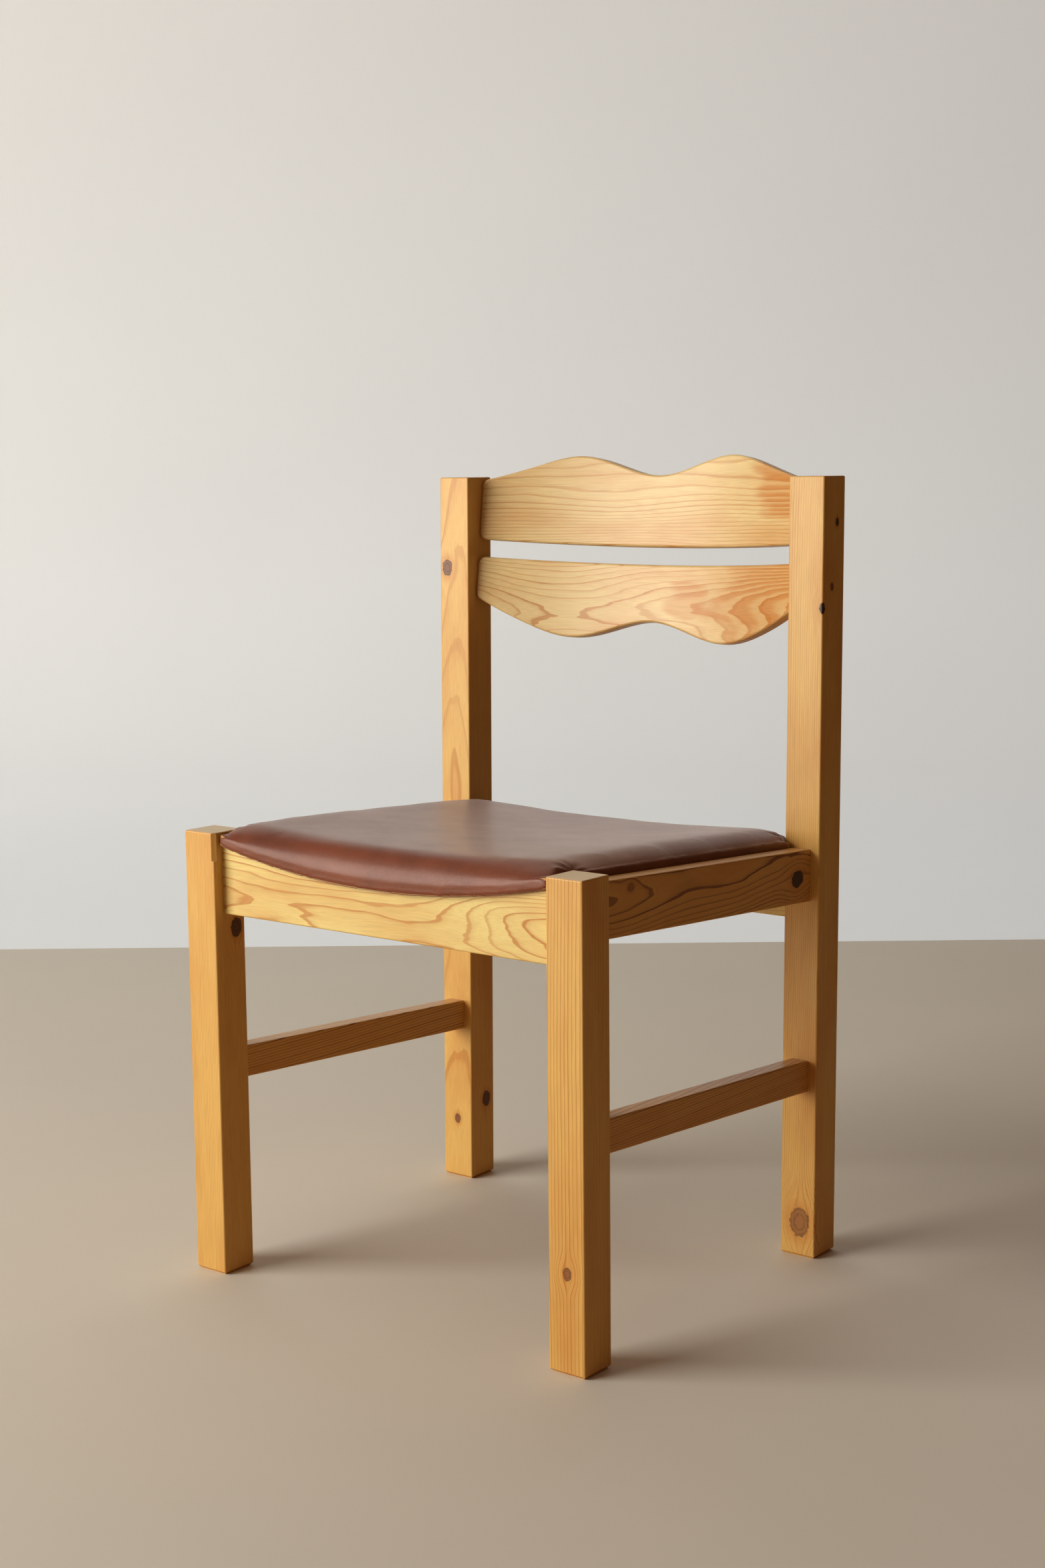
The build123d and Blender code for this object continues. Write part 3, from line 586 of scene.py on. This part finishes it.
class CHAIR_OT_slats(bpy.types.Operator):
    """Finish the bowed back slats in flat sawn pine"""

    bl_idname = "chair.slats"
    bl_label = "Back slats"

    def execute(self, context):
        look = context.scene.chair_pine
        cuts = {
            "upper_back_slat": (0.85, 2.3, 26, [(0.180, 0.0, 0.782, 0.040), (0.165, 0.0, 0.755, 0.02)]),
            "lower_back_slat": (0.3, 1.6, 32, [(0.15, 0.0, 0.665, 0.06), (0.05, 0.0, 0.67, 0.03)]),
        }
        for number, (node, (height, ring, wander, stains)) in enumerate(cuts.items()):
            low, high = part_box(node)
            pith = Vector((0, 0.075, low.z + (high.z - low.z) * height))
            give(node, pine(
                f"lacquered_pine_{node}", look, "X", pith, ring * MM, wander * MM, stains=stains,
                bend=(high.y - SLAT_RADIUS, SLAT_RADIUS), seed=number + 21.9, depth=0.72,
                base=look.slat_wood,
            ))
        return {"FINISHED"}


# Leather, board and fixings

def leather(look):
    """Finished cowhide: dyed through, pressed with a fine pebbled grain and rubbed with a resin finish."""
    material, tree = new_material("finished_cowhide_pressed_grain")
    place = add(tree, "ShaderNodeTexCoord", out=3)
    loose = add(tree, "ShaderNodeTexNoise", {"Vector": place, "Scale": RIPPLE_SCALE, "Detail": 2.0}, out=1)
    loose = add(tree, "ShaderNodeVectorMath", {0: loose, "Scale": 0.9 * MM}, operation="SCALE")
    loose = add(tree, "ShaderNodeVectorMath", {0: place, 1: loose}, operation="ADD")
    pebbles = 1 / (look.pebble * MM)
    pebble = add(
        tree, "ShaderNodeTexVoronoi", {"Vector": loose, "Scale": pebbles}, feature="DISTANCE_TO_EDGE"
    )
    pore = add(
        tree, "ShaderNodeMapRange", {0: pebble, 1: 0.0, 2: 0.2, 3: 1.0, 4: 0.0},
        interpolation_type="SMOOTHSTEP",
    )
    cloud = add(
        tree, "ShaderNodeTexNoise", {"Vector": place, "Scale": 16.0, "Detail": 6.0, "Roughness": 0.65}
    )
    cloud = add(tree, "ShaderNodeMapRange", {0: cloud, 1: 0.3, 2: 0.7, 3: 0.0, 4: 0.5})
    # Darker along the hollows between the pebbles and in random clouds.
    dark = add(tree, "ShaderNodeMath", {0: pore, 1: 0.3}, operation="MULTIPLY")
    dark = add(tree, "ShaderNodeMath", {0: dark, 1: cloud}, operation="ADD")
    colour = add(tree, "ShaderNodeMix", {0: dark, 6: look.dye, 7: look.darker_brown}, data_type="RGBA", out=2)
    gloss = add(
        tree, "ShaderNodeMapRange",
        {0: cloud, 1: 0.0, 2: 0.5, 3: look.roughness - 0.03, 4: look.roughness + 0.05},
    )
    normal = add(
        tree, "ShaderNodeBump", {"Strength": 0.45, "Distance": 0.12 * MM, "Height": pore}, invert=True
    )
    shader = add(
        tree, "ShaderNodeBsdfPrincipled",
        {
            "Base Color": colour, "Roughness": gloss, "IOR": 1.5, "Normal": normal,
            "Coat Weight": 0.18, "Coat Roughness": 0.25, "Sheen Weight": 0.45, "Sheen Roughness": 0.35,
        },
    )
    add(tree, "ShaderNodeOutputMaterial", {0: shader})
    return material


def suede():
    """Flesh side of the hide: raw, fibrous and dull, seen on its cut edge and inside."""
    material, tree = new_material("raw_cowhide_flesh_side")
    place = add(tree, "ShaderNodeTexCoord", out=3)
    nap = add(tree, "ShaderNodeTexNoise", {"Vector": place, "Scale": 1500.0, "Detail": 4.0})
    colour = add(
        tree, "ShaderNodeMix", {0: nap, 6: linear("#8A5A3C"), 7: linear("#B58A62")}, data_type="RGBA", out=2
    )
    normal = add(tree, "ShaderNodeBump", {"Strength": 0.5, "Distance": 0.2 * MM, "Height": nap})
    shader = add(
        tree, "ShaderNodeBsdfPrincipled", {"Base Color": colour, "Roughness": 0.85, "Normal": normal}
    )
    add(tree, "ShaderNodeOutputMaterial", {0: shader})
    return material


def evaluated(piece):
    """Replace a piece's mesh with what its modifiers make of it, and take the modifiers off."""
    graph = bpy.context.evaluated_depsgraph_get()
    mesh = bpy.data.meshes.new_from_object(piece.evaluated_get(graph))
    piece.modifiers.clear()
    piece.data = mesh


def smoothstep(low, high, value):
    """0 below low, 1 above high, and a smooth rise between them."""
    share = min(1.0, max(0.0, (value - low) / (high - low)))
    return share * share * (3 - 2 * share)


def above_underside(point):
    """Height over the dished underside of the seat, square to the sloping seat."""
    rise = DISH_RADIUS - sqrt(DISH_RADIUS**2 - point.x**2)
    return (point - SEAT_ORIGIN).dot(SEAT_UP) - SEAT_BOTTOM - rise


def drawn_down(point):
    """How far the tight leather is drawn down towards the seat's edges, and most of all at its corners."""
    along = (point - SEAT_ORIGIN).dot(SEAT_BACK)
    side = min(1.0, abs(point.x) / SEAT_HALF)
    front = (FRONT_DRAW + FRONT_CORNER_DRAW * side**2) * max(0.0, 1 - (along - SEAT_START) / FRONT_REACH) ** 2
    rear = REAR_CORNER_DRAW * side**2 * max(0.0, 1 - (SEAT_END - along) / REAR_REACH) ** 2
    edge = SIDE_DRAW * max(0.0, 1 - (SEAT_HALF - abs(point.x)) / SIDE_REACH) ** 2
    return (front + rear + edge) * MM


def swell(seat, look):
    """Blow the pad up a little, as cloth under pressure, and return how far each vertex moved."""
    rest = [vertex.co.copy() for vertex in seat.data.vertices]
    cloth = seat.modifiers.new("swell", "CLOTH")
    cloth.settings.quality = CLOTH_QUALITY
    cloth.settings.use_pressure = True
    cloth.settings.uniform_pressure_force = look.pressure
    cloth.settings.effector_weights.gravity = 0
    cloth.settings.bending_stiffness = CLOTH_BENDING
    for number in range(1, CLOTH_FRAMES + 1):
        bpy.context.scene.frame_set(number)
    evaluated(seat)
    bpy.context.scene.frame_set(1)
    return [vertex.co - start for vertex, start in zip(seat.data.vertices, rest)]


def leg_corners():
    """Where the leather turns in beside each leg, and the way out from there along the seat's top."""
    corners = []
    for node in LEGS:
        low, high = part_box(node)
        front = "front" in node
        x = high.x if node.endswith("left") else low.x
        y = high.y if front else low.y
        top = SEAT_ORIGIN + SEAT_BACK * (y - SEAT_ORIGIN.y)
        towards = Vector((-x, -y, 0)).normalized()
        corners.append((Vector((x, top.y, top.z)), towards))
    return corners


def fold_leather(mesh, corners, look):
    """Press small folds into the leather, fanning out from where it turns in beside each leg."""
    for vertex in mesh.vertices:
        for corner, towards in corners:
            spoke = vertex.co - corner
            spoke.z = 0
            reach = spoke.length
            if reach > 2 * FOLD_LENGTH or reach < MM or above_underside(vertex.co) < FLAP_REACH:
                continue
            turn = spoke.angle(towards)
            if towards.cross(spoke).z < 0:
                turn = -turn
            fade = smoothstep(FOLD_LENGTH * 0.6, FOLD_LENGTH * 2, reach)
            strength = smoothstep(0, FOLD_START, reach) * (1 - fade)
            vertex.co += vertex.normal * (look.fold * strength * (cos(FOLDS * turn) - 0.6))


def leg_gap(point, legs):
    """Level distance from a point to the nearest leg."""
    gaps = []
    for low, high in legs:
        across = max(low.x - point.x, point.x - high.x, 0)
        along = max(low.y - point.y, point.y - high.y, 0)
        gaps.append(sqrt(across**2 + along**2))
    return min(gaps)


def round_out(mesh, look):
    """Round the edge of the pad outwards, over the board's edge, but not beside the legs."""
    legs = [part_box(node) for node in LEGS]
    for vertex in mesh.vertices:
        height = above_underside(vertex.co)
        level = Vector((vertex.normal.x, vertex.normal.y, 0))
        share = smoothstep(ROLL[0], ROLL[1], height) * (1 - smoothstep(ROLL[2], ROLL[3], height))
        share *= smoothstep(LEG_CLEAR, LEG_FREE, leg_gap(vertex.co, legs)) * level.length
        if share:
            vertex.co += level.normalized() * (look.roll * share)


def soften(mesh):
    """Round the rolled edges of the pad, and leave the underside as it is."""
    shape = bmesh.new()
    shape.from_mesh(mesh)
    upper = [vertex for vertex in shape.verts if above_underside(vertex.co) > SOFT_FROM]
    for _ in range(SOFTENING):
        bmesh.ops.smooth_vert(
            shape, verts=upper, factor=0.5, use_axis_x=True, use_axis_y=True, use_axis_z=True
        )
    shape.to_mesh(mesh)
    shape.free()


def surface(node):
    """A CAD node's surface, to find the nearest place on."""
    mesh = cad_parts[node].data
    places = [vertex.co for vertex in mesh.vertices]
    return BVHTree.FromPolygons(places, [face.vertices for face in mesh.polygons])


def wrap_board(mesh):
    """Keep the leather its own thickness outside the board, so that it wraps the board's sharp edge."""
    tree = surface("seat_board")
    for vertex in mesh.vertices:
        found = tree.find_nearest(vertex.co, 3 * LEATHER)
        if found[0] is None:
            continue
        place, normal = found[:2]
        inside = (vertex.co - place).dot(normal) < 0
        if inside or (vertex.co - place).length < LEATHER:
            away = vertex.normal if inside else (vertex.co - place).normalized()
            vertex.co = place + away * LEATHER


def open_underside(mesh):
    """Cut the window in the leather's underside, where the board shows between the turned-in flaps."""
    shape = bmesh.new()
    shape.from_mesh(mesh)
    across = Vector((1, 0, 0))
    edges = [
        (across, -WINDOW_HALF), (across, WINDOW_HALF), (SEAT_BACK, WINDOW_START), (SEAT_BACK, WINDOW_END),
    ]

    def underside():
        return [
            face for face in shape.faces
            if face.normal.dot(SEAT_UP) < LOOKS_DOWN
            and above_underside(face.calc_center_median()) < FLAP_REACH
        ]

    for direction, reach in edges:
        faces = underside()
        lines = {edge for face in faces for edge in face.edges}
        points = {vertex for face in faces for vertex in face.verts}
        bmesh.ops.bisect_plane(
            shape, geom=[*points, *lines, *faces],
            plane_co=SEAT_ORIGIN + direction * reach, plane_no=direction,
        )
    inside = [
        face for face in underside()
        if abs(face.calc_center_median().x) < WINDOW_HALF
        and WINDOW_START < (face.calc_center_median() - SEAT_ORIGIN).dot(SEAT_BACK) < WINDOW_END
    ]
    bmesh.ops.delete(shape, geom=inside, context="FACES")
    shape.to_mesh(mesh)
    shape.free()


class CHAIR_OT_seat(bpy.types.Operator):
    """Upholster the seat: swell the pad as cloth, fold the leather beside the legs and open it below"""

    bl_idname = "chair.seat"
    bl_label = "Seat"

    def execute(self, context):
        look = context.scene.chair_leather

        # The pad: foam and board in one even skin.
        pad = bmesh.new()
        for node in ("seat_foam", "seat_board"):
            pad.from_mesh(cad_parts[node].data)
        mesh = bpy.data.meshes.new("seat_leather")
        pad.to_mesh(mesh)
        pad.free()
        seat = bpy.data.objects.new("seat_leather", mesh)
        context.scene.collection.objects.link(seat)
        even = seat.modifiers.new("even", "REMESH")
        even.mode, even.voxel_size, even.use_smooth_shade = "VOXEL", look.cell, True
        smooth = seat.modifiers.new("smooth", "SMOOTH")
        smooth.factor, smooth.iterations = 0.5, 3
        evaluated(seat)

        rest = [vertex.co + vertex.normal * LEATHER for vertex in seat.data.vertices]
        moves = swell(seat, look)

        # The leather lies on the cover's outer face, swollen only above the board.
        tree = surface("seat_cover")
        corners = leg_corners()
        for vertex, start, move in zip(seat.data.vertices, rest, moves):
            place, normal = tree.find_nearest(start)[:2]
            if (start - place).length > LEATHER:
                place = start
            free = smoothstep(SWELL_FROM, SWELL_FULL, above_underside(place))
            clear = min((place - corner).length for corner, _ in corners)
            free *= smoothstep(0.0, CORNER_HOLD, clear)
            cap = look.swell * free
            if move.length > cap:
                move = move * (cap / move.length)
            share = smoothstep(0.0, SWELL_FULL, above_underside(place))
            vertex.co = place + move - SEAT_UP * (drawn_down(place) * share)
        soften(seat.data)
        round_out(seat.data, look)
        subdivide = seat.modifiers.new("subdivide", "SUBSURF")
        subdivide.levels = subdivide.render_levels = 1
        evaluated(seat)
        fold_leather(seat.data, corners, look)
        wrap_board(seat.data)
        open_underside(seat.data)

        thick = seat.modifiers.new("hide thickness", "SOLIDIFY")
        thick.thickness, thick.offset = LEATHER, -1
        thick.material_offset = thick.material_offset_rim = 1
        for material in (leather(look), suede()):
            seat.data.materials.append(material)
        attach(seat, "root")
        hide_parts("seat_cover", "seat_foam")
        return {"FINISHED"}


def veneer(name, pale, dark, grain, pore, roughness):
    """Peeled or planed bare wood: fine straight fibre and short pores, no lacquer."""
    material, tree = new_material(name)
    place = add(tree, "ShaderNodeTexCoord", out=3)
    stretch = [1 / (pore * MM)] * 3
    stretch["XYZ".index(grain)] /= 40
    long_place = add(tree, "ShaderNodeMapping", {0: place, 3: stretch})
    fibre = add(
        tree, "ShaderNodeTexNoise", {"Vector": long_place, "Scale": 1.0, "Detail": 4.0, "Roughness": 0.6}
    )
    broad_place = add(tree, "ShaderNodeMapping", {0: place, 3: [value / 14 for value in stretch]})
    band = add(tree, "ShaderNodeTexNoise", {"Vector": broad_place, "Scale": 1.0, "Detail": 2.0})
    mixed = add(tree, "ShaderNodeMath", {0: fibre, 1: band}, operation="MULTIPLY")
    mixed = add(tree, "ShaderNodeMapRange", {0: mixed, 1: 0.12, 2: 0.42})
    colour = add(
        tree, "ShaderNodeMix", {0: mixed, 6: linear(dark), 7: linear(pale)}, data_type="RGBA", out=2
    )
    normal = add(tree, "ShaderNodeBump", {"Strength": 0.3, "Distance": 0.15 * MM, "Height": fibre})
    shader = add(
        tree, "ShaderNodeBsdfPrincipled",
        {"Base Color": colour, "Roughness": roughness, "IOR": 1.5, "Normal": normal},
    )
    add(tree, "ShaderNodeOutputMaterial", {0: shader})
    return material


def zinc_steel():
    """Bright zinc plated steel, tumbled: a cool pale metal with fine dull spangles."""
    material, tree = new_material("zinc_plated_steel_tumbled")
    place = add(tree, "ShaderNodeTexCoord", out=3)
    spangle = add(tree, "ShaderNodeTexNoise", {"Vector": place, "Scale": 900.0, "Detail": 3.0})
    colour = add(
        tree, "ShaderNodeMix", {0: spangle, 6: linear("#8E9094"), 7: linear("#C9CBCD")},
        data_type="RGBA", out=2,
    )
    gloss = add(tree, "ShaderNodeMapRange", {0: spangle, 3: 0.28, 4: 0.5})
    normal = add(tree, "ShaderNodeBump", {"Strength": 0.2, "Distance": 0.05 * MM, "Height": spangle})
    shader = add(
        tree, "ShaderNodeBsdfPrincipled",
        {"Base Color": colour, "Metallic": 1.0, "Roughness": gloss, "Normal": normal},
    )
    add(tree, "ShaderNodeOutputMaterial", {0: shader})
    return material


class CHAIR_OT_fixings(bpy.types.Operator):
    """Finish the dowels, corner blocks, screws, staples and the seat board"""

    bl_idname = "chair.fixings"
    bl_label = "Fixings and board"

    def execute(self, context):
        beech = {
            grain: veneer(f"turned_beech_{grain}", "#D9B07C", "#B07F4C", grain, 0.6, 0.55) for grain in "XY"
        }
        block = veneer("sawn_bare_pine", "#E2C08C", "#B98A50", "Z", 0.9, 0.75)
        metal = zinc_steel()
        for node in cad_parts:
            if "dowels" in node:
                give(node, beech["Y" if node.startswith("side") and "stretcher" not in node else "X"])
            elif "corner_block_" in node and "screws" not in node:
                give(node, block)
            elif "screws" in node or "staples" in node:
                give(node, metal)
        give("seat_board", veneer("peeled_birch_plywood", "#DDBB88", "#B58D5A", "Y", 0.8, 0.7))
        return {"FINISHED"}


class CHAIR_OT_stage(bpy.types.Operator):
    """Lay the floor and backdrop, and set the lights and the camera"""

    bl_idname = "chair.stage"
    bl_label = "Stage"

    def execute(self, context):
        look = context.scene.chair_stage
        scene = context.scene
        scene.view_settings.view_transform = "Standard"
        scene.view_settings.gamma, scene.view_settings.exposure = look.gamma, look.exposure
        middle = (cad_bounds[0] + cad_bounds[1]) / 2

        # The backdrop is one sheet that meets the floor in a line, lies low at first and then sweeps up.
        profiles = {
            "floor": (look.floor, 0.0, FLOOR_HALF, [(FLOOR_FRONT, 0), (look.floor_end, 0)]),
            "backdrop": (
                look.backdrop, look.backdrop_glow, BACKDROP_HALF,
                [(look.floor_end + out, rise) for out, rise in SWEEP],
            ),
        }
        for name, (colour, glow, half, profile) in profiles.items():
            mesh = bpy.data.meshes.new(name)
            points = [(side, out, rise) for out, rise in profile for side in (-half, half)]
            faces = [(i, i + 1, i + 3, i + 2) for i in range(0, len(points) - 2, 2)]
            mesh.from_pydata(points, [], faces)
            mesh.polygons.foreach_set("use_smooth", [True] * len(faces))
            sheet = bpy.data.objects.new(name, mesh)
            sheet.rotation_euler.z = look.azimuth
            scene.collection.objects.link(sheet)
            material, tree = new_material(f"matt_paint_{name}")
            where = add(tree, "ShaderNodeTexCoord", out=3)
            mottle = add(tree, "ShaderNodeTexNoise", {"Vector": where, "Scale": 3.0, "Detail": 4.0})
            mottle = add(tree, "ShaderNodeMapRange", {0: mottle, 3: 0.97, 4: 1.03})
            seen = add(tree, "ShaderNodeLightPath")
            # Painted bounce light: camera rays see the plain colour, all other rays the warmer floor tone.
            tone = look.floor_bounce_tint if name == "floor" else colour
            paint = add(tree, "ShaderNodeMix", {0: seen, 6: tone, 7: colour}, data_type="RGBA", out=2)
            paint = add(tree, "ShaderNodeVectorMath", {0: paint, "Scale": mottle}, operation="SCALE")
            shader = add(
                tree, "ShaderNodeBsdfPrincipled",
                {
                    "Base Color": paint, "Roughness": 0.75,
                    "Emission Color": colour, "Emission Strength": glow,
                },
            )
            add(tree, "ShaderNodeOutputMaterial", {0: shader})
            mesh.materials.append(material)

        # The room is dim and warm to the chair, and pale to look at.
        world = bpy.data.worlds.new("soft_room")
        scene.world = world
        world.use_nodes = True
        tree = world.node_tree
        tree.nodes.clear()
        seen = add(tree, "ShaderNodeLightPath")
        dim = add(tree, "ShaderNodeBackground", {0: look.room, 1: look.room_light})
        pale = add(tree, "ShaderNodeBackground", {0: look.backdrop, 1: 0.8})
        sky = add(tree, "ShaderNodeMixShader", {0: seen, 1: dim, 2: pale})
        add(tree, "ShaderNodeOutputWorld", {0: sky})

        lamps = {
            "window": ((-2.4, -3.5, 1.7), look.key_power, 3.0, "#FFF8EE"),
            "above": ((-0.4, -0.6, 3.2), look.fill_power, 2.6, "#FFF1E0"),
        }
        for name, (place, power, size, tint) in lamps.items():
            lamp = bpy.data.lights.new(name, "AREA")
            lamp.energy, lamp.size, lamp.color = power, size, linear(tint)[:3]
            holder = bpy.data.objects.new(name, lamp)
            holder.location = place
            holder.rotation_euler = (middle - Vector(place)).to_track_quat("-Z", "Y").to_euler()
            holder.visible_camera = False
            scene.collection.objects.link(holder)

        camera = bpy.data.cameras.new("camera")
        camera.lens, camera.sensor_width = look.lens, SENSOR_WIDTH
        holder = bpy.data.objects.new("camera", camera)
        level = cos(look.elevation)
        back = Vector((sin(look.azimuth) * level, -cos(look.azimuth) * level, sin(look.elevation)))
        holder.location = AIM + Vector((0, 0, look.aim_height)) + back * look.distance
        turn = back.to_track_quat("Z", "Y").to_euler().to_matrix() @ Euler((0, 0, look.roll)).to_matrix()
        holder.rotation_euler = turn.to_euler()
        scene.collection.objects.link(holder)
        scene.camera = holder
        return {"FINISHED"}


OPERATORS = (CHAIR_OT_legs, CHAIR_OT_rails, CHAIR_OT_slats, CHAIR_OT_fixings, CHAIR_OT_seat, CHAIR_OT_stage)


class CHAIR_PT_panel(bpy.types.Panel):
    """The chair's steps and their values"""

    bl_idname = "CHAIR_PT_panel"
    bl_label = "Dining chair"
    bl_space_type = "VIEW_3D"
    bl_region_type = "UI"
    bl_category = "Chair"

    def draw(self, context):
        for operator in OPERATORS:
            self.layout.operator(operator.bl_idname)
        for group in (context.scene.chair_pine, context.scene.chair_leather, context.scene.chair_stage):
            for name in group.__annotations__:
                self.layout.prop(group, name)


CLASSES = (PineLook, LeatherLook, StageLook, *OPERATORS, CHAIR_PT_panel)
GROUPS = {"chair_pine": PineLook, "chair_leather": LeatherLook, "chair_stage": StageLook}


def register():
    for item in CLASSES:
        bpy.utils.register_class(item)
    for name, group in GROUPS.items():
        setattr(bpy.types.Scene, name, PointerProperty(type=group))


def unregister():
    for name in GROUPS:
        delattr(bpy.types.Scene, name)
    for item in reversed(CLASSES):
        bpy.utils.unregister_class(item)


def main():
    register()
    bpy.ops.chair.legs()
    bpy.ops.chair.rails()
    bpy.ops.chair.slats()
    bpy.ops.chair.fixings()
    bpy.ops.chair.seat()
    bpy.ops.chair.stage()


if __name__ == "__main__":
    main()
